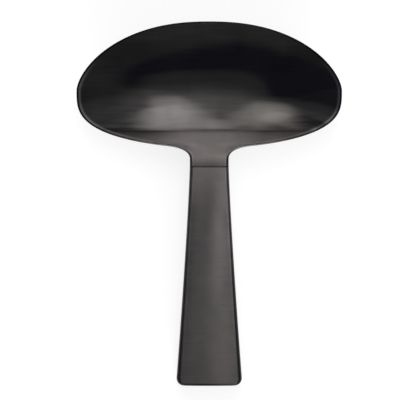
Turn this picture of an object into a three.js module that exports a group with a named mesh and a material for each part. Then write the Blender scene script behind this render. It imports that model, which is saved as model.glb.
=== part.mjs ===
// A soup spoon with a wide oval bowl and a short hollow bar handle.
// Millimetres, +Z up. It lies on the table at z = 0, centred on x = 0, with the bowl toward +Y.

import * as THREE from "three";
import { mergeVertices } from "three/addons/utils/BufferGeometryUtils.js";

// Sizes in plan
const BOWL_WIDTH = 76.5;
const BOWL_FAR_LENGTH = 19.9; // tip to the widest line
const BOWL_NEAR_LENGTH = 16.7; // widest line to the rim at the neck
const NECK_LENGTH = 5.2; // rim at the neck to the handle joint
const NECK_WIDTH = 11.2;
const FILLET_WIDTH = 6.6; // hollow curve from the rim into the neck, across and along
const FILLET_LENGTH = 3.0;
const HANDLE_LENGTH = 63.2; // joint to butt
const BUTT_WIDTH = 19.2;
const BUTT_CORNER_RADIUS = 2.4;

// Sizes in side view
const BOWL_DEPTH = 7.0;
const BOWL_GAUGE = 1.3; // sheet thickness of the bowl
const LIP_LENGTH = 5.2; // flat lip inside the near rim, in line with the neck
const LIP_DEPTH = 2.4; // inner line of the lip below the rim
const CREASE_SOFTNESS = 0.5; // half-length over which the wall turns into the lip
const NECK_RISE = 2.2; // top of the joint above the rim
const RIM_BLEND = 0.4; // height over which the level rim turns up into the neck
const UPSWEEP_LENGTH = 4.0; // hollow curve from the neck up to the handle
const UPSWEEP_HEIGHT = 1.0;
const HEEL_LENGTH = 12.5; // stretch behind the joint where the underside thickens
const HEEL_SPREAD = 9.0; // how far the heel fades out to each side of the neck
const MOUTH_THICKNESS = 5.2; // handle at the joint
const BUTT_THICKNESS = 7.8; // handle at the far end
const CREST_LENGTH = 9.0; // joint to the highest line of the handle
const CREST_RISE = 0.8; // that line above the joint
const REST_LENGTH = 13.0; // flat underside that lies on the table
const HANDLE_CROWN = 0.6; // swell of the handle's upper face

// Edges, walls and joints
const EDGE_RADIUS = 0.5; // rim of the bowl
const JOINT_EDGE_RADIUS = 1.0; // long edges at the joint
const HANDLE_EDGE_RADIUS = 1.5; // long edges of the handle at its butt
const BUTT_EDGE_RADIUS = 0.6;
const SHELL_WALL = 0.7;
const SHELL_INNER_RADIUS = 0.3;
const BRAZE_GAP = 0.3; // thickness of both brazed joints
const FIT_GAP = 0.25; // play around the cement and the tang
const TANG_LENGTH = 36.0;
const TANG_WIDTH = 6.0;
const TANG_THICKNESS = 2.0;
const TANG_TIP_SHARE = 0.75; // section of the tang's tip against its root

// Powers of the rim's curve in plan, of the bowl's section across and of the handle's flare
const FAR_POWER_X = 2.28;
const FAR_POWER_Y = 1.6;
const NEAR_POWER_X = 1.82;
const NEAR_POWER_Y = 3.19;
const SECTION_POWER = 2.2;
const HANDLE_FLARE_POWER = 1.2;
const WALL_ROUNDNESS = 0.3; // how early the walls turn up; 0 gives a parabola

// Fineness
const BOWL_COLUMNS = 20;
const FAR_ROWS = 18;
const NEAR_ROWS = 14;
const FILLET_ROWS = 8;
const NECK_ROWS = 3;
const BAR_COLUMNS = 4;
const HANDLE_ROWS = 16;
const BUTT_ROWS = 6;
const TANG_ROWS = 6;
const CORNER_STEPS = 3;

// Stations along the spoon
const SPOON_LENGTH = BOWL_FAR_LENGTH + BOWL_NEAR_LENGTH + NECK_LENGTH + HANDLE_LENGTH;
const TIP_Y = SPOON_LENGTH / 2;
const WIDE_Y = TIP_Y - BOWL_FAR_LENGTH;
const RIM_NEAR_Y = WIDE_Y - BOWL_NEAR_LENGTH;
const CREASE_Y = RIM_NEAR_Y + LIP_LENGTH;
const JOINT_Y = RIM_NEAR_Y - NECK_LENGTH;
const MOUTH_Y = JOINT_Y - BRAZE_GAP;
const BUTT_Y = JOINT_Y - HANDLE_LENGTH;
const CAVITY_END_Y = BUTT_Y + SHELL_WALL;

// Heights
const RIM_Z = BOWL_GAUGE + BOWL_DEPTH;
const CREASE_Z = RIM_Z - LIP_DEPTH;
const JOINT_TOP_Z = RIM_Z + NECK_RISE;
const JOINT_BOTTOM_Z = JOINT_TOP_Z - MOUTH_THICKNESS;

const { clamp, lerp, smoothstep } = THREE.MathUtils;
const steps = (count) => Array.from({ length: count + 1 }, (_, i) => i / count);

// A closed solid through a run of rings with equal point counts, with flat ends across Y.
// A looped run joins its last ring to its first; a run that starts on a fold has no first cap.
function loft(rings, { looped = false, foldedStart = false } = {}) {
  const count = rings[0].length;
  const triangles = [];
  const spans = looped ? rings.length : rings.length - 1;
  for (let i = 0; i < spans; i += 1) {
    const here = i * count;
    const next = ((i + 1) % rings.length) * count;
    for (let j = 0; j < count; j += 1) {
      const k = (j + 1) % count;
      triangles.push([here + j, here + k, next + k], [here + j, next + k, next + j]);
    }
  }
  if (!looped && !foldedStart) {
    triangles.push(...cap(rings[0], 0).map(([a, b, c]) => [a, c, b]));
  }
  if (!looped) {
    triangles.push(...cap(rings.at(-1), (rings.length - 1) * count));
  }
  return closedGeometry(rings.flat(), triangles);
}

// A flat end as a ladder between the two halves of its ring, turned the same way as the ring
function cap(ring, offset) {
  const last = ring.length - 1;
  const rungs = Array.from({ length: ring.length / 2 - 1 }, (_, i) => i);
  const ladder = rungs.flatMap((i) => [[i, i + 1, last - i - 1], [i, last - i - 1, last - i]]);
  return ladder.map((triangle) => triangle.map((i) => i + offset));
}

// Points that coincide become one, collapsed triangles go, and the faces are turned outward
function closedGeometry(points, triangles) {
  const geometry = new THREE.BufferGeometry();
  geometry.setAttribute("position", new THREE.Float32BufferAttribute(points.flat(), 3));
  geometry.setIndex(triangles.flat());
  const merged = mergeVertices(geometry, 1e-3);
  const index = merged.index.array;
  const kept = [];
  for (let i = 0; i < index.length; i += 3) {
    const [a, b, c] = index.slice(i, i + 3);
    if (a !== b && b !== c && c !== a) kept.push([a, b, c]);
  }
  const outward = volume(merged, kept) > 0;
  merged.setIndex(kept.flatMap(([a, b, c]) => (outward ? [a, b, c] : [a, c, b])));
  return merged;
}

function volume(geometry, triangles) {
  const position = geometry.attributes.position;
  const corner = (i) => new THREE.Vector3().fromBufferAttribute(position, i);
  return triangles.reduce((sum, [a, b, c]) => sum + corner(a).dot(corner(b).cross(corner(c))) / 6, 0);
}

// One half of a section, from its left seam over one face to its right seam.
// The edge is a point of the plan outline with its outward direction, the face gives a height for
// u from -1 to 1, and a rounded corner leads from the face down or up to the seam.
function halfSection(edge, radius, seam, face, columns) {
  const { x, y, nx = 1, ny = 0 } = edge;
  const half = x - radius * nx;
  const row = y - radius * ny;
  const toSeam = Math.sign(seam - face(1)) * radius;
  const corner = steps(CORNER_STEPS).slice(1).map((s) => {
    const angle = (s * Math.PI) / 2;
    const out = radius * Math.sin(angle);
    return [half + out * nx, row + out * ny, face(1) + toSeam * (1 - Math.cos(angle))];
  });
  const right = [...corner, [x, y, seam]];
  const left = right.map(([px, py, pz]) => [-px, py, pz]).reverse();
  const middle = steps(columns).map((s) => {
    const u = Math.sin((s - 0.5) * Math.PI);
    return [half * u, row, face(u)];
  });
  return [...left, ...middle, ...right];
}

const ring = (upper, lower) => [...upper, ...lower.slice().reverse()];

// Right half of the outline in plan, from the tip of the bowl round the rim to the joint
function forgingOutline() {
  const half = BOWL_WIDTH / 2;
  const neck = NECK_WIDTH / 2;
  const far = steps(FAR_ROWS).map((s) => {
    const angle = (s * Math.PI) / 2;
    const x = half * Math.sin(angle) ** (2 / FAR_POWER_X);
    return new THREE.Vector2(x, WIDE_Y + BOWL_FAR_LENGTH * Math.cos(angle) ** (2 / FAR_POWER_Y));
  });
  const nearRim = (angle) => {
    const x = half * Math.cos(angle) ** (2 / NEAR_POWER_X);
    return new THREE.Vector2(x, WIDE_Y - BOWL_NEAR_LENGTH * Math.sin(angle) ** (2 / NEAR_POWER_Y));
  };
  const filletAngle = Math.acos(((neck + FILLET_WIDTH) / half) ** (NEAR_POWER_X / 2));
  const near = steps(NEAR_ROWS).map((s) => nearRim(s * filletAngle));
  const start = near.at(-1);
  const before = nearRim(filletAngle - 0.001);
  const slope = (start.y - before.y) / (start.x - before.x);
  const corner = new THREE.Vector2(neck, start.y + slope * (neck - start.x));
  const end = new THREE.Vector2(neck, corner.y - FILLET_LENGTH);
  const fillet = new THREE.QuadraticBezierCurve(start, corner, end).getPoints(FILLET_ROWS);
  const straight = steps(NECK_ROWS).map((s) => new THREE.Vector2(neck, lerp(end.y, JOINT_Y, s)));
  return [...far, ...near.slice(1), ...fillet.slice(1), ...straight.slice(1)];
}

// The same outline with the outward direction at each point
function outlineEdges(points) {
  return points.map((point, i) => {
    if (i === 0) return { x: 0, y: point.y, nx: 0, ny: 1 };
    const next = points[Math.min(i + 1, points.length - 1)];
    const along = next.clone().sub(points[i - 1]).normalize();
    return { x: point.x, y: point.y, nx: -along.y, ny: along.x };
  });
}

// Rise of a bowl wall from 0 at the bottom to 1 at its top
const wallRise = (v) => (v * v * (1 + WALL_ROUNDNESS)) / (1 + v * WALL_ROUNDNESS);

// Height of the bowl and neck along the middle: far wall, near wall, lip, upsweep to the joint
function spine(y) {
  if (y > WIDE_Y) {
    const v = clamp((y - WIDE_Y) / (BOWL_FAR_LENGTH - EDGE_RADIUS), 0, 1);
    return BOWL_GAUGE + BOWL_DEPTH * wallRise(v);
  }
  if (y > CREASE_Y) {
    const v = (WIDE_Y - y) / (WIDE_Y - CREASE_Y);
    return BOWL_GAUGE + (CREASE_Z - BOWL_GAUGE) * wallRise(v);
  }
  return neckLine(y);
}

function neckLine(y) {
  const foot = JOINT_TOP_Z - UPSWEEP_HEIGHT;
  const ramp = lerp(foot, CREASE_Z, (y - JOINT_Y) / (CREASE_Y - JOINT_Y));
  const sweep = Math.max(0, 1 - (y - JOINT_Y) / UPSWEEP_LENGTH);
  return ramp + UPSWEEP_HEIGHT * sweep * sweep;
}

// The spine with its crease softened; the joint itself stays exact
function softSpine(y) {
  const reach = Math.min(CREASE_SOFTNESS, y - JOINT_Y);
  const offsets = y > WIDE_Y ? [0] : [-1, -0.5, 0, 0.5, 1];
  const sum = offsets.reduce((total, offset) => total + spine(y + offset * reach), 0);
  return sum / offsets.length;
}

// Edge of the bowl and neck in side view: level round the rim, then rising with the neck
function rimLine(y) {
  const share = clamp(0.5 + (softSpine(y) - RIM_Z) / (2 * RIM_BLEND), 0, 1);
  return lerp(RIM_Z, softSpine(y), share) + RIM_BLEND * share * (1 - share);
}

function bowlTop(u, y) {
  return rimLine(y) - (rimLine(y) - softSpine(y)) * (1 - Math.abs(u) ** SECTION_POWER);
}

// Thickness at the middle: the sheet gauge in the bowl, growing through the heel to the handle's own
function spineThickness(y) {
  const heelY = JOINT_Y + HEEL_LENGTH;
  if (y >= heelY) return BOWL_GAUGE;
  const s = (heelY - y) / HEEL_LENGTH;
  const slope = (softSpine(heelY) - softSpine(heelY + 0.01)) / 0.01;
  const start = softSpine(heelY) - BOWL_GAUGE;
  const under = start * (2 * s ** 3 - 3 * s ** 2 + 1)
    + slope * HEEL_LENGTH * (s ** 3 - 2 * s ** 2 + s)
    + JOINT_BOTTOM_Z * (3 * s ** 2 - 2 * s ** 3);
  return Math.max(BOWL_GAUGE, softSpine(y) - under);
}

function bowlThickness(x, y) {
  const side = smoothstep(Math.abs(x), NECK_WIDTH / 2, NECK_WIDTH / 2 + HEEL_SPREAD);
  return lerp(spineThickness(y), BOWL_GAUGE, side);
}

// Rounding of the rim, softer along the neck
function edgeRadius(y) {
  return lerp(JOINT_EDGE_RADIUS, EDGE_RADIUS, smoothstep(y, JOINT_Y, RIM_NEAR_Y));
}

// Bowl, shoulders, neck and tang in one forging
function makeBowl() {
  const rings = outlineEdges(forgingOutline()).map((edge) => {
    const radius = edgeRadius(edge.y);
    const half = edge.x - radius * edge.nx;
    const row = edge.y - radius * edge.ny;
    const top = (u) => bowlTop(u, row);
    const bottom = (u) => bowlTop(u, row) - bowlThickness(half * u, row);
    const seam = (top(1) + bottom(1)) / 2;
    const upper = halfSection(edge, radius, seam, top, BOWL_COLUMNS);
    return ring(upper, halfSection(edge, radius, seam, bottom, BOWL_COLUMNS));
  });
  const tang = steps(TANG_ROWS).map((s) => tangRing(JOINT_Y - s * TANG_LENGTH, 0, BOWL_COLUMNS));
  return loft([...rings, ...tang], { foldedStart: true });
}

// Handle in side view: its top climbs to a crest and sinks slowly toward the butt,
// while its underside falls in an S and ends flat on the table
const handleShare = (y) => clamp((JOINT_Y - y) / HANDLE_LENGTH, 0, 1);

function handleBottom(y) {
  return JOINT_BOTTOM_Z * (1 - smoothstep(JOINT_Y - y, 0, HANDLE_LENGTH - REST_LENGTH));
}

function handleTop(y) {
  const crest = JOINT_TOP_Z + CREST_RISE;
  const climb = Math.max(0, 1 - (JOINT_Y - y) / CREST_LENGTH);
  const sink = smoothstep(JOINT_Y - y, CREST_LENGTH, HANDLE_LENGTH);
  return lerp(crest - CREST_RISE * climb ** 2, BUTT_THICKNESS, sink);
}

const handleThickness = (y) => handleTop(y) - handleBottom(y);
const seamLine = (y) => (handleTop(y) + handleBottom(y)) / 2;

function handleHalfWidth(y) {
  const flare = ((BUTT_WIDTH - NECK_WIDTH) / 2) * handleShare(y) ** HANDLE_FLARE_POWER;
  const radius = BUTT_CORNER_RADIUS;
  const past = Math.max(0, radius - (y - BUTT_Y));
  return NECK_WIDTH / 2 + flare - radius + Math.sqrt(radius ** 2 - past ** 2);
}

// How much the butt's rounded edge takes off the upper and lower face
function buttRounding(y) {
  const past = Math.max(0, BUTT_EDGE_RADIUS - (y - BUTT_Y));
  return BUTT_EDGE_RADIUS - Math.sqrt(BUTT_EDGE_RADIUS ** 2 - past ** 2);
}

// Half section of the handle on one side of the seam: side 1 is the upper, -1 the lower half.
// The inset steps in from the outer skin, and the gap steps away from the seam.
function handleHalf(y, side, inset, gap) {
  const outer = lerp(JOINT_EDGE_RADIUS, HANDLE_EDGE_RADIUS, handleShare(y));
  const radius = inset > 0 ? Math.max(SHELL_INNER_RADIUS, outer - inset) : outer;
  const crown = side > 0 ? HANDLE_CROWN * smoothstep(handleShare(y), 0, 0.3) : 0;
  const reach = handleThickness(y) / 2 - buttRounding(y) - inset;
  const face = (u) => seamLine(y) + side * (reach + crown * (1 - u * u));
  const edge = { x: handleHalfWidth(y) - inset, y };
  return halfSection(edge, radius, seamLine(y) + side * gap, face, BAR_COLUMNS);
}

const handleStations = () => steps(HANDLE_ROWS).map((s) => lerp(MOUTH_Y, BUTT_Y + BUTT_CORNER_RADIUS, s));

function buttStations() {
  const quarter = steps(BUTT_ROWS).map((s) => 1 - Math.sin((s * Math.PI) / 2));
  return quarter.slice(1).map((share) => BUTT_Y + BUTT_CORNER_RADIUS * share);
}

// Stations along the hollow, and those through the wall that closes it at the butt
function cavityStations() {
  return [...handleStations(), ...buttStations().filter((y) => y > CAVITY_END_Y), CAVITY_END_Y];
}

const endStations = () => buttStations().filter((y) => y < CAVITY_END_Y);

// One pressed half of the handle, a tray with a wall at the butt and an open mouth
function makeShell(side) {
  const gap = BRAZE_GAP / 2;
  const outer = (y) => handleHalf(y, side, 0, gap);
  const inner = (y) => handleHalf(y, side, SHELL_WALL, gap);
  const flat = (y) => inner(y).map(([x]) => [x, y, seamLine(y) + side * gap]);
  const hollow = cavityStations().map((y) => ring(outer(y), inner(y)));
  const butt = [CAVITY_END_Y, ...endStations()].map((y) => ring(outer(y), flat(y)));
  return loft([...hollow, ...butt]);
}

// Ribbon of braze that fills the seam down both sides and across the butt
function makeSeamBraze() {
  const sides = cavityStations();
  const ends = endStations();
  const inner = sides.map((y) => [handleHalfWidth(y) - SHELL_WALL, y]);
  const corner = inner.at(-1);
  const outerPath = [...sides, ...ends].map((y) => [handleHalfWidth(y), y]);
  const innerPath = [...inner, ...ends.map(() => corner)];
  const right = outerPath.map((out, i) => seamRing(out, innerPath[i]));
  const left = right.map((points) => points.map(([x, y, z]) => [-x, y, z])).reverse();
  return loft([...right, ...left]);
}

function seamRing(out, inside) {
  const at = ([x, y], side) => [x, y, seamLine(y) + (side * BRAZE_GAP) / 2];
  return [at(out, 1), at(inside, 1), at(inside, -1), at(out, -1)];
}

// Tang section, grown by the play where it is used for a pocket
function tangRing(y, play, columns) {
  const share = lerp(1, TANG_TIP_SHARE, clamp((JOINT_Y - y) / TANG_LENGTH, 0, 1));
  const edge = { x: (TANG_WIDTH / 2) * share + play, y };
  const reach = (TANG_THICKNESS / 2) * share + play;
  const middle = seamLine(y);
  const half = (side) => halfSection(edge, SHELL_INNER_RADIUS, middle, () => middle + side * reach, columns);
  return ring(half(1), half(-1));
}

const handleRing = (y, inset) => ring(handleHalf(y, 1, inset, 0), handleHalf(y, -1, inset, 0));

// Ring of braze between the neck's shoulder and the mouth of the shells, open for the tang
function makeNeckBraze() {
  const rings = [
    handleRing(JOINT_Y, 0),
    handleRing(MOUTH_Y, 0),
    tangRing(MOUTH_Y, FIT_GAP, BAR_COLUMNS),
    tangRing(JOINT_Y, FIT_GAP, BAR_COLUMNS),
  ];
  return loft(rings, { looped: true });
}

// Cement core that fills the hollow handle, with a pocket for the tang
function makeFiller() {
  const inset = SHELL_WALL + FIT_GAP;
  const front = MOUTH_Y - FIT_GAP;
  const back = CAVITY_END_Y + FIT_GAP;
  const pocketEnd = JOINT_Y - TANG_LENGTH - FIT_GAP;
  const skin = cavityStations().filter((y) => y < front && y > back);
  const outside = [back, ...skin.reverse(), front].map((y) => handleRing(y, inset));
  const pocket = steps(TANG_ROWS).map((s) => tangRing(lerp(front, pocketEnd, s), FIT_GAP, BAR_COLUMNS));
  return loft([...outside, ...pocket]);
}

const darkSteel = () => new THREE.MeshStandardMaterial({ color: 0x2b2a2c, metalness: 1, roughness: 0.35 });
const braze = () => new THREE.MeshStandardMaterial({ color: 0xa8894f, metalness: 1, roughness: 0.5 });
const cement = () => new THREE.MeshStandardMaterial({ color: 0x9a958a, metalness: 0, roughness: 0.95 });

function piece(name, geometry, material) {
  const mesh = new THREE.Mesh(geometry, material);
  mesh.name = name;
  return mesh;
}

const spoon = new THREE.Group();
spoon.name = "soup_spoon";
spoon.add(
  piece("bowl", makeBowl(), darkSteel()),
  piece("handle_top_shell", makeShell(1), darkSteel()),
  piece("handle_bottom_shell", makeShell(-1), darkSteel()),
  piece("seam_braze", makeSeamBraze(), braze()),
  piece("neck_braze", makeNeckBraze(), braze()),
  piece("handle_filler", makeFiller(), cement()),
);

export default spoon;
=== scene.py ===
# Soup spoon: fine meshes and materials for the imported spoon, with studio, floor and camera.
# Sizes are in millimetres up to the point where a mesh is made; Blender's own units are metres.
# The spoon lies on the table at z = 0, centred on x = 0, with the bowl toward +Y.

import math
from collections import namedtuple

import bmesh
import bpy
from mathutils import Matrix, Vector


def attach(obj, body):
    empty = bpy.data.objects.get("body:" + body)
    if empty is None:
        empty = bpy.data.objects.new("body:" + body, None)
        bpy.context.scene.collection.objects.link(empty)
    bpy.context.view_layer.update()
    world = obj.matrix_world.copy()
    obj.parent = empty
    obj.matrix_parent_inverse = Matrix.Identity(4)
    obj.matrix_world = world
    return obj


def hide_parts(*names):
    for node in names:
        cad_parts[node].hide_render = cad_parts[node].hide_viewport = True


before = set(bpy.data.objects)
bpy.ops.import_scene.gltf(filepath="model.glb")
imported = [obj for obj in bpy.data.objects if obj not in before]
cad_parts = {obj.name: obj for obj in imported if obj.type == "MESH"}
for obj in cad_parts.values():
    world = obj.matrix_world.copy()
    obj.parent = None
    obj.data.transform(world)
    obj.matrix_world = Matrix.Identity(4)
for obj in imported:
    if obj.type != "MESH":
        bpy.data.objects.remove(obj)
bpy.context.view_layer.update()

MM = 0.001

# Sizes in plan
BOWL_WIDTH = 76.5
BOWL_FAR_LENGTH = 19.9  # tip to the widest line
BOWL_NEAR_LENGTH = 16.7  # widest line to the rim at the neck
NECK_LENGTH = 5.2  # rim at the neck to the handle joint
NECK_WIDTH = 11.2
FILLET_WIDTH = 6.6  # hollow curve from the rim into the neck, across and along
FILLET_LENGTH = 3.0
HANDLE_LENGTH = 63.2  # joint to butt
BUTT_WIDTH = 19.2
BUTT_CORNER_RADIUS = 2.4

# Sizes in side view
BOWL_DEPTH = 7.0
BOWL_GAUGE = 1.3  # sheet thickness of the bowl
LIP_LENGTH = 5.2  # flat lip inside the near rim, in line with the neck
LIP_DEPTH = 2.4  # inner line of the lip below the rim
CREASE_SOFTNESS = 0.5  # half-length over which the wall turns into the lip
NECK_RISE = 2.2  # top of the joint above the rim
RIM_BLEND = 0.4  # height over which the level rim turns up into the neck
UPSWEEP_LENGTH = 4.0  # hollow curve from the neck up to the handle
UPSWEEP_HEIGHT = 1.0
HEEL_LENGTH = 12.5  # stretch in front of the joint where the underside thickens
HEEL_SPREAD = 9.0  # how far the heel fades out to each side of the neck
MOUTH_THICKNESS = 5.2  # handle at the joint
BUTT_THICKNESS = 7.8  # handle at the far end
CREST_LENGTH = 9.0  # joint to the highest line of the handle
CREST_RISE = 0.8  # that line above the joint
REST_LENGTH = 13.0  # flat underside that lies on the table
HANDLE_CROWN = 0.6  # swell of the handle's upper face
CROWN_SHARE = 0.3  # share of the handle over which the swell grows

# Edges, walls and joints
EDGE_RADIUS = 0.5  # rim of the bowl
JOINT_EDGE_RADIUS = 1.0  # long edges at the joint
HANDLE_EDGE_RADIUS = 1.5  # long edges of the handle at its butt
BUTT_EDGE_RADIUS = 0.6
SHELL_WALL = 0.7
SHELL_INNER_RADIUS = 0.3
BRAZE_GAP = 0.3  # thickness of both brazed joints
TANG_LENGTH = 36.0
TANG_WIDTH = 6.0
TANG_THICKNESS = 2.0
TANG_TIP_SHARE = 0.75  # section of the tang's tip against its root

# Powers of the rim's curve in plan, of the bowl's section across and of the handle's flare
FAR_POWER_X = 2.28
FAR_POWER_Y = 1.6
NEAR_POWER_X = 1.82
NEAR_POWER_Y = 3.19
SECTION_POWER = 2.2
HANDLE_FLARE_POWER = 1.2
WALL_ROUNDNESS = 0.3  # how early the walls turn up; 0 gives a parabola

# Stations along the spoon
TIP_Y = (BOWL_FAR_LENGTH + BOWL_NEAR_LENGTH + NECK_LENGTH + HANDLE_LENGTH) / 2
WIDE_Y = TIP_Y - BOWL_FAR_LENGTH
RIM_NEAR_Y = WIDE_Y - BOWL_NEAR_LENGTH
CREASE_Y = RIM_NEAR_Y + LIP_LENGTH
JOINT_Y = RIM_NEAR_Y - NECK_LENGTH
MOUTH_Y = JOINT_Y - BRAZE_GAP
BUTT_Y = JOINT_Y - HANDLE_LENGTH
CAVITY_END_Y = BUTT_Y + SHELL_WALL

# Heights
RIM_Z = BOWL_GAUGE + BOWL_DEPTH
CREASE_Z = RIM_Z - LIP_DEPTH
JOINT_TOP_Z = RIM_Z + NECK_RISE
JOINT_BOTTOM_Z = JOINT_TOP_Z - MOUTH_THICKNESS

# Factors on the colour of the faces, 1 on the neck: painted shade at the crease, lip and joint; the
# handle's tone
CREASE_PAINTED_SHADE = 0.5
CREASE_END_PAINTED_SHADE = 0.2
CREASE_SHADE_WIDTH = 0.6
CREASE_END_RISE = 0.2  # how far the painted shade bends off the crease at its ends
LIP_LEFT_PAINTED_SHADE = 0.18
LIP_RIGHT_PAINTED_SHADE = 0.42
JOINT_PAINTED_SHADE = 0.42
JOINT_SHADE_LENGTH = 3.2
CLIMB_TONE = 1.0  # handle between the joint and its crest
HANDLE_TONE = 0.93
BUTT_TONE = 0.72

# Painted shade along the edges, its factor at the outline and its width; then a thin painted line beside
# it, a highlight except on the lip
JOINT_EDGE_SHADE = 0.95
RIM_EDGE_SHADE = 0.15
TIP_EDGE_SHADE = 0.05
BUTT_EDGE_SHADE = 0.45
JOINT_EDGE_SHADE_WIDTH = 0.6
LIP_EDGE_SHADE_WIDTH = 0.6
RIM_EDGE_SHADE_WIDTH = 0.85
BUTT_EDGE_SHADE_WIDTH = 1.3
PAINTED_LINE_WIDTH = 0.6
HANDLE_PAINTED_LINE = 1.5
LIP_PAINTED_LINE = 0.9
RIM_PAINTED_LINE = 5.0

# Painted dark line of shade across the butt: from its reach in front of the end to where the end face
# begins
BUTT_PAINTED_SHADE_LINE = 0.06
BUTT_LINE_REACH = 0.9
END_FACE_REACH = 0.18

# Where the painted light and shade change, outward from the middle and along the spoon
LIP_SHADE_START_X = 2.0
LIP_SHADE_FULL_X = BOWL_WIDTH / 4
CREASE_END_X = 2 * NECK_WIDTH
SHOULDER_END_X = BOWL_WIDTH / 3
RIM_LINE_START_X = 0.38 * BOWL_WIDTH
RIM_LINE_FULL_X = 0.45 * BOWL_WIDTH
LIP_SHADE_END_Y = RIM_NEAR_Y - 1.0
TIP_SHADE_Y = TIP_Y - BOWL_FAR_LENGTH / 2

# Spots of painted light, and one of painted shade: place, size and factor on the colour
PAINTED_LIGHT_SPOTS = [
    ((4.6, -5.0), (3.0, 13.0), 1.35),
    ((-4.8, -9.0), (2.5, 5.0), 1.25),
    ((0.0, -3.0), (2.2, 9.0), 0.80),
    ((4.8, 14.5), (3.2, 4.5), 1.28),
]

# Fineness of the meshes
BOWL_COLUMNS = 72
FAR_ROWS = 56
NEAR_ROWS = 120
FILLET_ROWS = 20
NECK_ROWS = 24
BAR_COLUMNS = 24
HANDLE_ROWS = 64
BUTT_ROWS = 12
TANG_ROWS = 12
CORNER_STEPS = 6
CREASE_SAMPLES = (-1, -0.5, 0, 0.5, 1)  # places over which the crease is softened
JOIN_DISTANCE = 0.0001
SLIVER_LENGTH = 0.00001
SMOOTH_ANGLE = 50  # degrees; sharper edges stay sharp

# Materials: the part of a noise's range that holds most of it, and how much the slow one counts
NOISE_LOW = 0.3
NOISE_HIGH = 0.7
BLOTCH_SHARE = 0.6

# Camera, and frame of the photograph on a level through the spoon
CAMERA_LENS = 300.0
CAMERA_SENSOR = 36.0
CAMERA_CLIP_END = 100.0  # metres
FRAME_WIDTH = 115.3
FRAME_X = -2.66
FRAME_Y = 1.04
FRAME_Z = 7.0

# Floor
FLOOR_REACH = 20000.0
FLOOR_DROP = 0.05  # so that the floor and the spoon's flats don't share a plane
FLOOR_TONE = 0.25
FLOOR_GLOW = 0.80

# Room: its even tone, its darkest tone, and patches as centre, radii, turn, softness and change of colour.
# Places are leans: the sideways and backward slope of a surface that mirrors them straight up.
ROOM_TONE = (0.41, 0.41, 0.41)
ROOM_SHADE = (0.143, 0.135, 0.195)
ROOM_PATCHES = [
    # Dark arch in the bowl: its crown on the far wall, its right foot and its left foot
    ((-0.06, -0.155), (0.27, 0.27), 45, 0.30, (-0.27, -0.275, -0.215)),
    ((-0.29, 0.04), (0.14, 0.24), 0, 0.30, (-0.22, -0.225, -0.18)),
    ((0.30, 0.08), (0.11, 0.16), 0, 0.60, (-0.08, -0.08, -0.075)),
    # Light under the arch and up the near wall
    ((0.0, 0.16), (0.17, 0.385), 6, 0.25, (0.265, 0.27, 0.22)),
    ((0.01, 0.42), (0.15, 0.40), 8, 0.90, (0.99, 0.93, 0.915)),
    # Bright patch on the left of the near wall, its core and its end at the crease
    ((0.05, 0.52), (0.05, 0.37), 8, 0.60, (3.3, 3.08, 3.05)),
    ((0.082, 0.47), (0.053, 0.14), 9, 0.45, (2.45, 2.3, 2.28)),
    ((0.06, 0.66), (0.035, 0.07), 0, 0.50, (1.2, 1.15, 1.1)),
    # Bright patch on the right of the near wall and its core
    ((-0.105, 0.455), (0.055, 0.205), -12, 0.75, (3.1, 2.9, 2.8)),
    ((-0.125, 0.47), (0.026, 0.09), -15, 0.50, (1.4, 1.3, 1.15)),
    # Shade to the right of both patches, to their left and between them
    ((-0.190, 0.53), (0.068, 0.16), -25, 0.25, (-3.2, -3.1, -3.0)),
    ((0.165, 0.59), (0.06, 0.085), 0, 0.60, (-0.85, -0.82, -0.80)),
    ((0.008, 0.535), (0.027, 0.06), 0, 0.70, (-1.1, -1.07, -1.03)),
    # Faint light on the left wall and the right wall
    ((0.29, 0.24), (0.10, 0.15), 0, 0.70, (0.25, 0.25, 0.25)),
    ((-0.26, 0.31), (0.09, 0.15), 0, 0.70, (0.33, 0.33, 0.32)),
    # Faint shade on the left and on the right of the far wall
    ((0.20, -0.35), (0.12, 0.13), 0, 0.80, (-0.13, -0.13, -0.11)),
    ((-0.33, -0.33), (0.10, 0.12), 0, 0.70, (-0.16, -0.16, -0.15)),
    # Low round the room: a light beyond the tip, dark sides, and three lights beyond the butt
    ((-0.06, 0.86), (0.11, 0.12), 0, 0.30, (3.0, 2.9, 2.8)),
    ((-0.75, 0.0), (0.30, 0.75), 0, 0.20, (-0.3, -0.3, -0.3)),
    ((0.75, 0.0), (0.30, 0.75), 0, 0.20, (-0.3, -0.3, -0.3)),
    ((0.0, -0.85), (0.55, 0.18), 0, 0.30, (3.3, 3.25, 3.2)),
    ((0.20, -0.84), (0.18, 0.18), 0, 0.40, (25.0, 24.5, 24.0)),
    ((-0.17, -0.84), (0.12, 0.18), 0, 0.40, (8.0, 7.8, 7.6)),
]


# Small helpers

def steps(count):
    return [i / count for i in range(count + 1)]


def clamp(value, low=0.0, high=1.0):
    return max(low, min(high, value))


def lerp(a, b, share):
    return a + (b - a) * share


def smoothstep(value, low, high):
    share = clamp((value - low) / (high - low))
    return share * share * (3 - 2 * share)


# Painted light of a section: factor on the colour of its face, of the thin line and of the edge, and the
# width of the edge's painted shade

Coat = namedtuple("Coat", "face line edge width")
EVEN_PAINT = Coat(face=1.0, line=1.0, edge=1.0, width=1.0)


def paint_across(inset, paint):
    """Inward from the outline: painted shade of a given width, a thin painted line, then the face."""
    paint_factor = lerp(paint.edge, paint.line, smoothstep(inset, paint.width / 2, paint.width))
    return lerp(paint_factor, paint.face, smoothstep(inset, paint.width, paint.width + PAINTED_LINE_WIDTH))


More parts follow.
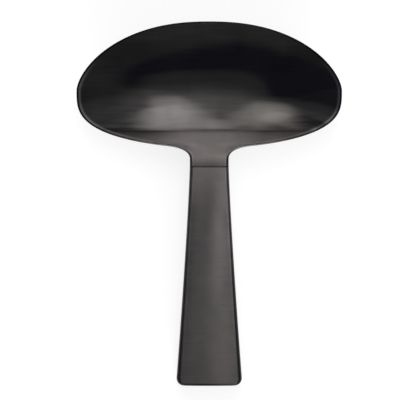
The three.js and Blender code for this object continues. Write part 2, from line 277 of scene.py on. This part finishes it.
def rim_paint(half, row, nx):
    """Painted edge shade and line of the forging: along the neck, then the lip and the sides, and round the
    tip.
    """
    side = smoothstep(half, NECK_WIDTH, SHOULDER_END_X)
    sharp = smoothstep(half, RIM_LINE_START_X, RIM_LINE_FULL_X)
    far = smoothstep(row, WIDE_Y, TIP_SHADE_Y)
    line = lerp(lerp(HANDLE_PAINTED_LINE, LIP_PAINTED_LINE, side), RIM_PAINTED_LINE, sharp)
    edge = lerp(lerp(JOINT_EDGE_SHADE, RIM_EDGE_SHADE, side), TIP_EDGE_SHADE, far)
    width = lerp(JOINT_EDGE_SHADE_WIDTH, lerp(LIP_EDGE_SHADE_WIDTH, RIM_EDGE_SHADE_WIDTH, nx), side)
    return Coat(face=1.0, line=lerp(line, 1.0, far), edge=edge, width=width)


def handle_paint(y):
    """Tone of the handle, darker toward the butt, its painted edge shade and line, and a painted dark line
    of shade across the butt's rounding.
    """
    share = handle_share(y)
    past_climb = smoothstep(JOINT_Y - y, CREST_LENGTH / 2, CREST_LENGTH)
    skin = lerp(CLIMB_TONE, lerp(HANDLE_TONE, BUTT_TONE, share), past_climb)
    line = lerp(HANDLE_PAINTED_LINE, BUTT_TONE, share)
    edge = lerp(JOINT_EDGE_SHADE, BUTT_EDGE_SHADE, share)
    width = lerp(JOINT_EDGE_SHADE_WIDTH, BUTT_EDGE_SHADE_WIDTH, share)
    # painted dark line of shade across the butt's rounding
    butt = smoothstep(BUTT_Y + BUTT_LINE_REACH - y, 0, BUTT_EDGE_RADIUS)
    end_face = 1 - smoothstep(y - BUTT_Y, 0, END_FACE_REACH)
    butt_line = lerp(BUTT_PAINTED_SHADE_LINE, edge, end_face)
    return Coat(lerp(skin, butt_line, butt), lerp(line, butt_line, butt), edge, width)


def spot_paint(x, y):
    """How the spots of painted light and shade change the colour at a place."""
    paint_factor = 1.0
    for place, size, spot in PAINTED_LIGHT_SPOTS:
        across = (x - place[0]) / size[0]
        along = (y - place[1]) / size[1]
        paint_factor *= lerp(1, spot, math.exp(-across**2 - along**2))
    return paint_factor


def inside_paint(x, y):
    """Painted shade on the forging's upper face: in the crease, before the joint and toward the lip's
    sides.
    """
    end = smoothstep(abs(x), NECK_WIDTH, CREASE_END_X)
    # painted shade along the crease, bending off it at its ends
    crease = math.exp(-((y - CREASE_Y - CREASE_END_RISE * end) / CREASE_SHADE_WIDTH) ** 2)
    # painted shade growing over the last stretch before the joint
    joint = 1 - clamp((y - JOINT_Y) / JOINT_SHADE_LENGTH)
    paint_factor = lerp(1, lerp(CREASE_PAINTED_SHADE, CREASE_END_PAINTED_SHADE, end), crease)
    paint_factor *= lerp(1, JOINT_PAINTED_SHADE, joint) * spot_paint(x, y)
    if y > CREASE_Y:
        return paint_factor
    # painted shade toward the lip's sides, darker on the left
    lip = smoothstep(y, LIP_SHADE_END_Y, CREASE_Y)
    side = smoothstep(abs(x), LIP_SHADE_START_X, LIP_SHADE_FULL_X) * lip
    return paint_factor * lerp(1, LIP_LEFT_PAINTED_SHADE if x < 0 else LIP_RIGHT_PAINTED_SHADE, side)


# Lofted meshes, through rings of points as (x, y, z, painted light)

def half_section(edge, radius, seam, face, columns, paint=EVEN_PAINT):
    """One half of a ring from seam to seam, with rounded edges.

    The edge is a point of the outline with its outward direction; face(u) is the height for u from -1 to 1.
    """
    x, y, nx, ny = edge
    half = x - radius * nx
    row = y - radius * ny
    level = face(1.0)
    to_seam = math.copysign(radius, seam - level)
    right = []
    for share in steps(CORNER_STEPS)[1:]:
        angle = share * math.pi / 2
        out = radius * math.sin(angle)
        height = level + to_seam * (1 - math.cos(angle))
        right.append((half + out * nx, row + out * ny, height, paint_across(radius - out, paint)))
    right.append((x, y, seam, paint_across(0.0, paint)))
    left = [(-px, py, pz, paint_factor) for px, py, pz, paint_factor in reversed(right)]
    middle = []
    for share in steps(columns):
        u = math.sin((share - 0.5) * math.pi)
        inset = radius + half * (1 - abs(u)) * nx
        middle.append((half * u, row, face(u), paint_across(inset, paint)))
    return left + middle + right


def ring(upper, lower):
    return upper + lower[::-1]


def ring_lengths(points):
    """Distance along a ring from the middle of its upper half."""
    lengths = [0.0]
    for here, there in zip(points, points[1:]):
        lengths.append(lengths[-1] + math.dist(here[:3], there[:3]))
    middle = lengths[len(points) // 4]
    return [length - middle for length in lengths]


def loft_faces(rows, count, folded_start):
    """Quads between the rings, and across the flat ends; a folded start has no end face."""
    faces = []
    for i in range(rows - 1):
        for j in range(count):
            k = (j + 1) % count
            faces.append((i * count + j, i * count + k, (i + 1) * count + k, (i + 1) * count + j))
    last = (rows - 1) * count
    for j in range(count // 2 - 1):
        faces.append((last + j, last + j + 1, last + count - 2 - j, last + count - 1 - j))
        if not folded_start:
            faces.append((count - 1 - j, count - 2 - j, j + 1, j))
    return faces


def brush(mesh, rings, satin_y):
    """Brushing coordinates in millimetres: U runs along the spoon up to satin_y, and across it beyond."""
    along = [point[1] for section in rings for point in section]
    across = [length for section in rings for length in ring_lengths(section)]
    brushing = mesh.uv_layers.new(name="brushing")
    for face in mesh.polygons:
        satin = face.center.y < satin_y * MM
        for loop, vertex in zip(face.loop_indices, face.vertices):
            place = (along[vertex], across[vertex])
            brushing.data[loop].uv = place if satin else place[::-1]


def loft(name, rings, satin_y, folded_start=False):
    """A closed piece through rings of equal point counts, with its painted light and shade and its
    brushing.
    """
    points = [point for section in rings for point in section]
    faces = loft_faces(len(rings), len(rings[0]), folded_start)
    mesh = bpy.data.meshes.new(name)
    mesh.from_pydata([Vector(point[:3]) * MM for point in points], [], faces)
    painted_light = mesh.attributes.new("painted_light", "FLOAT", "POINT")
    painted_light.data.foreach_set("value", [point[3] for point in points])
    brush(mesh, rings, satin_y)
    return finished_piece(name, mesh)


def finished_piece(name, mesh):
    """The mesh as an object with doubled points joined, faces outward and smooth shading."""
    work = bmesh.new()
    work.from_mesh(mesh)
    bmesh.ops.remove_doubles(work, verts=work.verts, dist=JOIN_DISTANCE * MM)
    bmesh.ops.dissolve_degenerate(work, edges=work.edges, dist=SLIVER_LENGTH * MM)
    bmesh.ops.recalc_face_normals(work, faces=work.faces)
    work.to_mesh(mesh)
    work.free()
    mesh.shade_smooth()
    mesh.set_sharp_from_angle(angle=math.radians(SMOOTH_ANGLE))
    piece = bpy.data.objects.new(name, mesh)
    bpy.context.scene.collection.objects.link(piece)
    return piece


# Bowl, neck and tang

def forging_outline():
    """Right half of the outline in plan, from the tip of the bowl to the handle joint."""
    half = BOWL_WIDTH / 2
    neck = NECK_WIDTH / 2
    points = []
    for share in steps(FAR_ROWS):
        angle = share * math.pi / 2
        x = half * math.sin(angle) ** (2 / FAR_POWER_X)
        points.append((x, WIDE_Y + BOWL_FAR_LENGTH * abs(math.cos(angle)) ** (2 / FAR_POWER_Y)))

    def near_rim(angle):
        x = half * math.cos(angle) ** (2 / NEAR_POWER_X)
        return x, WIDE_Y - BOWL_NEAR_LENGTH * math.sin(angle) ** (2 / NEAR_POWER_Y)

    fillet_angle = math.acos(((neck + FILLET_WIDTH) / half) ** (NEAR_POWER_X / 2))
    points += [near_rim(share * fillet_angle) for share in steps(NEAR_ROWS)[1:]]
    just_before = near_rim(fillet_angle - 0.001)
    return points + fillet_and_neck(points[-1], just_before)


def fillet_and_neck(start, just_before):
    """A hollow curve that leaves the rim in its own direction, then the neck's straight side."""
    neck = NECK_WIDTH / 2
    slope = (start[1] - just_before[1]) / (start[0] - just_before[0])
    corner_y = start[1] + slope * (neck - start[0])
    end_y = corner_y - FILLET_LENGTH
    points = []
    for share in steps(FILLET_ROWS)[1:]:
        rest = 1 - share
        x = rest * rest * start[0] + (1 - rest * rest) * neck
        y = rest * rest * start[1] + 2 * rest * share * corner_y + share * share * end_y
        points.append((x, y))
    return points + [(neck, lerp(end_y, JOINT_Y, share)) for share in steps(NECK_ROWS)[1:]]


def outline_edges(points):
    """The outline's points with the outward direction at each."""
    edges = [(0.0, points[0][1], 0.0, 1.0)]
    for i in range(1, len(points)):
        before = points[i - 1]
        after = points[min(i + 1, len(points) - 1)]
        dx = after[0] - before[0]
        dy = after[1] - before[1]
        size = math.hypot(dx, dy)
        edges.append((points[i][0], points[i][1], -dy / size, dx / size))
    return edges


def wall_rise(v):
    """Rise of a bowl wall from 0 at the bottom to 1 at its top."""
    return v * v * (1 + WALL_ROUNDNESS) / (1 + v * WALL_ROUNDNESS)


def spine(y):
    """Height along the middle: far wall, near wall, then the lip and the neck."""
    if y > WIDE_Y:
        v = clamp((y - WIDE_Y) / (BOWL_FAR_LENGTH - EDGE_RADIUS))
        return BOWL_GAUGE + BOWL_DEPTH * wall_rise(v)
    if y > CREASE_Y:
        v = (WIDE_Y - y) / (WIDE_Y - CREASE_Y)
        return BOWL_GAUGE + (CREASE_Z - BOWL_GAUGE) * wall_rise(v)
    ramp = lerp(JOINT_TOP_Z - UPSWEEP_HEIGHT, CREASE_Z, (y - JOINT_Y) / (CREASE_Y - JOINT_Y))
    sweep = max(0.0, 1 - (y - JOINT_Y) / UPSWEEP_LENGTH)
    return ramp + UPSWEEP_HEIGHT * sweep * sweep


def soft_spine(y):
    """The spine with its crease softened."""
    if y > WIDE_Y:
        return spine(y)
    reach = min(CREASE_SOFTNESS, y - JOINT_Y)
    return sum(spine(y + offset * reach) for offset in CREASE_SAMPLES) / len(CREASE_SAMPLES)


def rim_line(y):
    """Height of the edge: level round the rim, then rising with the neck."""
    if y > WIDE_Y:
        return RIM_Z
    share = clamp(0.5 + (soft_spine(y) - RIM_Z) / (2 * RIM_BLEND))
    return lerp(RIM_Z, soft_spine(y), share) + RIM_BLEND * share * (1 - share)


def spine_thickness(y):
    """Gauge of the bowl, growing through the heel to the thickness of the handle."""
    heel_y = JOINT_Y + HEEL_LENGTH
    if y >= heel_y:
        return BOWL_GAUGE
    s = (heel_y - y) / HEEL_LENGTH
    step = 0.01
    slope = (soft_spine(heel_y) - soft_spine(heel_y + step)) / step
    start = soft_spine(heel_y) - BOWL_GAUGE
    under = start * (2 * s**3 - 3 * s**2 + 1)
    under += slope * HEEL_LENGTH * (s**3 - 2 * s**2 + s)
    under += JOINT_BOTTOM_Z * (3 * s**2 - 2 * s**3)
    return max(BOWL_GAUGE, soft_spine(y) - under)


def bowl_ring(edge):
    """Ring of the forging at one point of its outline: the dished face above, the heel below."""
    x, y, nx, ny = edge
    radius = lerp(JOINT_EDGE_RADIUS, EDGE_RADIUS, smoothstep(y, JOINT_Y, RIM_NEAR_Y))
    half = x - radius * nx
    row = y - radius * ny
    rim = rim_line(row)
    depth = rim - soft_spine(row)
    thick = spine_thickness(row)
    paint = rim_paint(half, row, nx)

    def top(u):
        return rim - depth * (1 - abs(u) ** SECTION_POWER)

    def bottom(u):
        side = smoothstep(abs(half * u), NECK_WIDTH / 2, NECK_WIDTH / 2 + HEEL_SPREAD)
        return top(u) - lerp(thick, BOWL_GAUGE, side)

    # the upper face's painted shade, blended in inward of the edge's painted shade and line
    def with_inside_paint(x, y, z, paint_factor):
        inset = radius + (half - abs(x)) * nx
        on_face = smoothstep(inset, paint.width, paint.width + PAINTED_LINE_WIDTH)
        return x, y, z, paint_factor * lerp(1, inside_paint(x, row), on_face)

    seam = (top(1) + bottom(1)) / 2
    upper = half_section(edge, radius, seam, top, BOWL_COLUMNS, paint)
    lower = half_section(edge, radius, seam, bottom, BOWL_COLUMNS, paint)
    return ring([with_inside_paint(*point) for point in upper], lower)


def tang_ring(y):
    """Ring of the tang, which tapers to its tip along the middle of the handle."""
    share = lerp(1, TANG_TIP_SHARE, clamp((JOINT_Y - y) / TANG_LENGTH))
    edge = (TANG_WIDTH / 2 * share, y, 1.0, 0.0)
    reach = TANG_THICKNESS / 2 * share
    middle = seam_line(y)
    upper = half_section(edge, SHELL_INNER_RADIUS, middle, lambda u: middle + reach, BOWL_COLUMNS)
    lower = half_section(edge, SHELL_INNER_RADIUS, middle, lambda u: middle - reach, BOWL_COLUMNS)
    return ring(upper, lower)


def make_bowl():
    """The forging: its first material goes up to the crease, its second on from there."""
    rings = [bowl_ring(edge) for edge in outline_edges(forging_outline())]
    rings += [tang_ring(JOINT_Y - share * TANG_LENGTH) for share in steps(TANG_ROWS)]
    piece = loft("spoon_bowl", rings, CREASE_Y, folded_start=True)
    for face in piece.data.polygons:
        face.material_index = int(face.center.y < CREASE_Y * MM)
    return piece


# Handle

def handle_share(y):
    return clamp((JOINT_Y - y) / HANDLE_LENGTH)


def handle_top(y):
    """A short climb from the joint to the crest, then a slow fall to the butt."""
    crest = JOINT_TOP_Z + CREST_RISE
    climb = max(0.0, 1 - (JOINT_Y - y) / CREST_LENGTH)
    sink = smoothstep(JOINT_Y - y, CREST_LENGTH, HANDLE_LENGTH)
    return lerp(crest - CREST_RISE * climb**2, BUTT_THICKNESS, sink)


def handle_bottom(y):
    return JOINT_BOTTOM_Z * (1 - smoothstep(JOINT_Y - y, 0, HANDLE_LENGTH - REST_LENGTH))


def seam_line(y):
    return (handle_top(y) + handle_bottom(y)) / 2


def butt_rounding(y, radius):
    """How far a rounding of the butt falls back: not at all a radius before the end, all of it there."""
    past = max(0.0, radius - (y - BUTT_Y))
    return radius - math.sqrt(max(0.0, radius**2 - past**2))


def handle_half_width(y):
    flare = (BUTT_WIDTH - NECK_WIDTH) / 2 * handle_share(y) ** HANDLE_FLARE_POWER
    return NECK_WIDTH / 2 + flare - butt_rounding(y, BUTT_CORNER_RADIUS)


def handle_half(y, side, inset):
    """Half section of one shell: side 1 is the upper, -1 the lower; the inset is from the skin."""
    share = handle_share(y)
    outer = lerp(JOINT_EDGE_RADIUS, HANDLE_EDGE_RADIUS, share)
    radius = max(SHELL_INNER_RADIUS, outer - inset) if inset else outer
    crown = HANDLE_CROWN * smoothstep(share, 0, CROWN_SHARE) if side > 0 else 0.0
    reach = (handle_top(y) - handle_bottom(y)) / 2 - butt_rounding(y, BUTT_EDGE_RADIUS) - inset
    middle = seam_line(y)
    seam = middle + side * BRAZE_GAP / 2
    edge = (handle_half_width(y) - inset, y, 1.0, 0.0)

    def face(u):
        return middle + side * (reach + crown * (1 - u * u))

    points = half_section(edge, radius, seam, face, BAR_COLUMNS, handle_paint(y))
    # spots of painted light and shade on the handle
    return [(x, y, z, paint_factor * spot_paint(x, y)) for x, y, z, paint_factor in points]


def make_shell(name, side):
    """One half shell: a trough along the handle, closed at the butt by a wall up to the seam."""
    sides = [lerp(MOUTH_Y, BUTT_Y + BUTT_CORNER_RADIUS, share) for share in steps(HANDLE_ROWS)]
    quarter = [1 - math.sin(share * math.pi / 2) for share in steps(BUTT_ROWS)[1:]]
    ends = [BUTT_Y + BUTT_CORNER_RADIUS * share for share in quarter]
    hollow = sides + [y for y in ends if y > CAVITY_END_Y] + [CAVITY_END_Y]
    rings = [ring(handle_half(y, side, 0), handle_half(y, side, SHELL_WALL)) for y in hollow]
    for y in [CAVITY_END_Y] + [y for y in ends if y < CAVITY_END_Y]:
        level = seam_line(y) + side * BRAZE_GAP / 2
        inner = handle_half(y, side, SHELL_WALL)
        closed = [(x, y, level, BUTT_EDGE_SHADE) for x, _, _, _ in inner]
        rings.append(ring(handle_half(y, side, 0), closed))
    return loft(name, rings, TIP_Y)


# Shader nodes

def new_material(name):
    """A material, its node tree and its shader."""
    material = bpy.data.materials.new(name)
    material.use_nodes = True
    tree = material.node_tree
    return material, tree, tree.nodes["Principled BSDF"]


def maths(tree, kind, operation, *values):
    """A maths node whose inputs are sockets or plain values."""
    node = tree.nodes.new(kind)
    node.operation = operation
    for socket, value in zip(node.inputs, values):
        if isinstance(value, bpy.types.NodeSocket):
            tree.links.new(value, socket)
        else:
            socket.default_value = value
    return node


def number_maths(tree, operation, *values):
    return maths(tree, "ShaderNodeMath", operation, *values).outputs["Value"]


def vector_maths(tree, operation, *values):
    node = maths(tree, "ShaderNodeVectorMath", operation, *values)
    return node.outputs["Value" if operation == "LENGTH" else "Vector"]


def noise_texture(tree, scale, detail, distortion=0.0):
    noise = tree.nodes.new("ShaderNodeTexNoise")
    noise.inputs["Scale"].default_value = scale
    noise.inputs["Detail"].default_value = detail
    noise.inputs["Distortion"].default_value = distortion
    return noise


def brushed_noise(tree, marks, detail, distortion=0.0):
    """Noise in brushing coordinates, with so many marks per millimetre along U and V."""
    uv = tree.nodes.new("ShaderNodeUVMap")
    uv.uv_map = "brushing"
    mapping = tree.nodes.new("ShaderNodeMapping")
    mapping.inputs["Scale"].default_value = (*marks, 1.0)
    tree.links.new(uv.outputs["UV"], mapping.inputs["Vector"])
    noise = noise_texture(tree, 1.0, detail, distortion)
    tree.links.new(mapping.outputs["Vector"], noise.inputs["Vector"])
    return noise.outputs["Fac"]


def remap(tree, value, low, high):
    """A noise value spread over a range."""
    node = tree.nodes.new("ShaderNodeMapRange")
    node.inputs["From Min"].default_value = NOISE_LOW
    node.inputs["From Max"].default_value = NOISE_HIGH
    node.inputs["To Min"].default_value = low
    node.inputs["To Max"].default_value = high
    tree.links.new(value, node.inputs["Value"])
    return node.outputs["Result"]


def speckled_colour(tree, shader, scale, detail, dark, light):
    """Base colour that changes between two tones with a fine noise; gives that noise."""
    noise = noise_texture(tree, scale, detail).outputs["Fac"]
    ramp = tree.nodes.new("ShaderNodeValToRGB")
    ramp.color_ramp.elements[0].color = (*dark, 1.0)
    ramp.color_ramp.elements[1].color = (*light, 1.0)
    tree.links.new(noise, ramp.inputs["Fac"])
    tree.links.new(ramp.outputs["Color"], shader.inputs["Base Color"])
    return noise


def relief(tree, shader, height, depth):
    """Fine bump from a noise, with its depth in millimetres."""
    bump = tree.nodes.new("ShaderNodeBump")
    bump.inputs["Strength"].default_value = 1.0
    bump.inputs["Distance"].default_value = depth * MM
    tree.links.new(height, bump.inputs["Height"])
    tree.links.new(bump.outputs["Normal"], shader.inputs["Normal"])


# Materials

def black_steel(name, dark, light, roughness, anisotropy, streaks, blotches, groove):
    """Black coated steel: fine streaks, slow changes of tone and the painted light and shade stored with
    the mesh.

    Streaks and blotches are marks per millimetre along U and V; the groove is a depth in millimetres.
    """
    material, tree, shader = new_material(name)
    shader.inputs["Metallic"].default_value = 1.0
    shader.inputs["Anisotropic"].default_value = anisotropy
    tangent = tree.nodes.new("ShaderNodeTangent")
    tangent.direction_type = "UV_MAP"
    tangent.uv_map = "brushing"
    tree.links.new(tangent.outputs["Tangent"], shader.inputs["Tangent"])

    fine = brushed_noise(tree, streaks, detail=3.0)
    slow = brushed_noise(tree, blotches, detail=2.0, distortion=0.3)
    slow_share = remap(tree, slow, 0.0, BLOTCH_SHARE)
    fine_share = remap(tree, fine, 0.0, 1 - BLOTCH_SHARE)
    tone = tree.nodes.new("ShaderNodeMix")
    tone.data_type = "RGBA"
    tone.inputs["A"].default_value = (*dark, 1.0)
    tone.inputs["B"].default_value = (*light, 1.0)
    tree.links.new(number_maths(tree, "ADD", slow_share, fine_share), tone.inputs["Factor"])

    # the steel's tone times the painted light and shade stored with the mesh
    painted_light = tree.nodes.new("ShaderNodeAttribute")
    painted_light.attribute_name = "painted_light"
    colour = vector_maths(tree, "MULTIPLY", tone.outputs["Result"], painted_light.outputs["Vector"])
    tree.links.new(colour, shader.inputs["Base Color"])
    tree.links.new(remap(tree, fine, *roughness), shader.inputs["Roughness"])
    relief(tree, shader, fine, groove)
    return material


def cast_cement():
    """Grey cement with a coarse grain."""
    material, tree, shader = new_material("cement")
    shader.inputs["Roughness"].default_value = 0.9
    grain = speckled_colour(
        tree, shader, scale=900.0, detail=6.0, dark=(0.32, 0.30, 0.27), light=(0.55, 0.53, 0.49)
    )
    relief(tree, shader, grain, depth=0.05)
    return material


def coated_braze():
    """Braze ground flush and coated with the steel; speckled, because its grain is coarser."""
    material, tree, shader = new_material("coated_braze")
    shader.inputs["Metallic"].default_value = 1.0
    grain = speckled_colour(
        tree, shader, scale=2500.0, detail=4.0, dark=(0.014, 0.0135, 0.013), light=(0.024, 0.023, 0.022)
    )
    tree.links.new(remap(tree, grain, low=0.35, high=0.5), shader.inputs["Roughness"])
    return material


# Studio

def white_floor():
    """A pale floor that reads as white to the camera and in reflections, and keeps the shadow."""
    size = FLOOR_REACH * MM
    corners = [(-size, -size), (size, -size), (size, size), (-size, size)]
    mesh = bpy.data.meshes.new("floor")
    mesh.from_pydata([(x, y, -FLOOR_DROP * MM) for x, y in corners], [], [(0, 1, 2, 3)])
    floor = bpy.data.objects.new("floor", mesh)
    bpy.context.scene.collection.objects.link(floor)
    material, tree, shader = new_material("white_floor")
    shader.inputs["Base Color"].default_value = (FLOOR_TONE, FLOOR_TONE, FLOOR_TONE, 1.0)
    shader.inputs["Roughness"].default_value = 0.9
    shader.inputs["Specular IOR Level"].default_value = 0.0
    shader.inputs["Emission Color"].default_value = (1.0, 1.0, 1.0, 1.0)
    path = tree.nodes.new("ShaderNodeLightPath")
    seen = path.outputs["Is Camera Ray"]
    for other in ("Is Glossy Ray", "Is Transmission Ray"):
        seen = number_maths(tree, "MAXIMUM", seen, path.outputs[other])
    glow = number_maths(tree, "MULTIPLY", seen, FLOOR_GLOW)
    tree.links.new(glow, shader.inputs["Emission Strength"])
    mesh.materials.append(material)


def soft_patch(tree, lean, centre, radii, turn, softness):
    """One inside a rounded rectangle of leans, falling softly to nothing outside it."""
    place = tree.nodes.new("ShaderNodeMapping")
    place.vector_type = "TEXTURE"
    place.inputs["Location"].default_value = (*centre, 0.0)
    place.inputs["Rotation"].default_value = (0.0, 0.0, math.radians(turn))
    place.inputs["Scale"].default_value = (*radii, 1.0)
    tree.links.new(lean, place.inputs["Vector"])
    offset = place.outputs["Vector"]
    squares = vector_maths(tree, "MULTIPLY", offset, offset)
    fall = tree.nodes.new("ShaderNodeMapRange")
    fall.interpolation_type = "SMOOTHSTEP"
    fall.inputs["From Min"].default_value = 1 + softness
    fall.inputs["From Max"].default_value = 1 - softness
    tree.links.new(vector_maths(tree, "LENGTH", squares), fall.inputs["Value"])
    return fall.outputs["Result"]


def lean_of_direction(tree):
    """The lean of a surface that mirrors a direction straight up: its level part over 1 plus its height.

    A little more than 1 is added, so that straight down still has a lean.
    """
    direction = tree.nodes.new("ShaderNodeTexCoord").outputs["Generated"]
    axes = tree.nodes.new("ShaderNodeSeparateXYZ")
    tree.links.new(direction, axes.inputs["Vector"])
    flat = vector_maths(tree, "MULTIPLY", direction, (1.0, 1.0, 0.0))
    rise = vector_maths(tree, "ADD", axes.outputs["Z"], (1.001, 1.001, 1.001))
    return vector_maths(tree, "DIVIDE", flat, rise)


def studio_room():
    """The room round the spoon: one even tone, changed by soft patches of light and shade."""
    world = bpy.data.worlds.new("studio")
    world.use_nodes = True
    tree = world.node_tree
    lean = lean_of_direction(tree)
    light = ROOM_TONE
    for centre, radii, turn, softness, change in ROOM_PATCHES:
        patch = soft_patch(tree, lean, centre, radii, turn, softness)
        light = vector_maths(tree, "MULTIPLY_ADD", patch, change, light)
    light = vector_maths(tree, "MAXIMUM", light, ROOM_SHADE)
    tree.links.new(light, tree.nodes["Background"].inputs["Color"])
    bpy.context.scene.world = world


def camera_above():
    """Straight down, with the photograph's framing of the spoon."""
    data = bpy.data.cameras.new("camera")
    data.lens = CAMERA_LENS
    data.sensor_width = CAMERA_SENSOR
    data.clip_end = CAMERA_CLIP_END
    camera = bpy.data.objects.new("camera", data)
    distance = FRAME_WIDTH * CAMERA_LENS / CAMERA_SENSOR
    camera.location = Vector((FRAME_X, FRAME_Y, FRAME_Z + distance)) * MM
    bpy.context.scene.collection.objects.link(camera)
    bpy.context.scene.camera = camera


# Assembly

bowl = make_bowl()
top_shell = make_shell("spoon_handle_top", 1)
bottom_shell = make_shell("spoon_handle_bottom", -1)

polished_steel = black_steel(
    "black_steel_polished",
    dark=(0.0266, 0.0264, 0.0264),
    light=(0.0432, 0.0429, 0.0428),
    roughness=(0.09, 0.12),
    anisotropy=0.2,
    streaks=(0.08, 1.1),
    blotches=(0.10, 0.06),
    groove=0.0015,
)
satin_steel = black_steel(
    "black_steel_satin",
    dark=(0.0577, 0.0574, 0.0578),
    light=(0.0857, 0.0805, 0.0795),
    roughness=(0.38, 0.46),
    anisotropy=0.9,
    streaks=(3.0, 0.10),
    blotches=(0.11, 0.15),
    groove=0.0008,
)

pieces = [
    (bowl, "bowl", "bowl_steel", [polished_steel, satin_steel]),
    (top_shell, "handle_top_shell", "handle_steel", [satin_steel]),
    (bottom_shell, "handle_bottom_shell", "handle_steel", [satin_steel]),
]
for piece, node, slot, finishes in pieces:
    for finish in finishes:
        piece.data.materials.append(finish)
    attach(piece, "root")
    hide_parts(node)

braze = coated_braze()
node_materials = {"seam_braze": braze, "neck_braze": braze, "handle_filler": cast_cement()}
for node, material in node_materials.items():
    mesh = bpy.data.objects[node].data
    mesh.materials.clear()
    mesh.materials.append(material)

white_floor()
studio_room()
camera_above()

bpy.context.scene.view_settings.view_transform = "Standard"
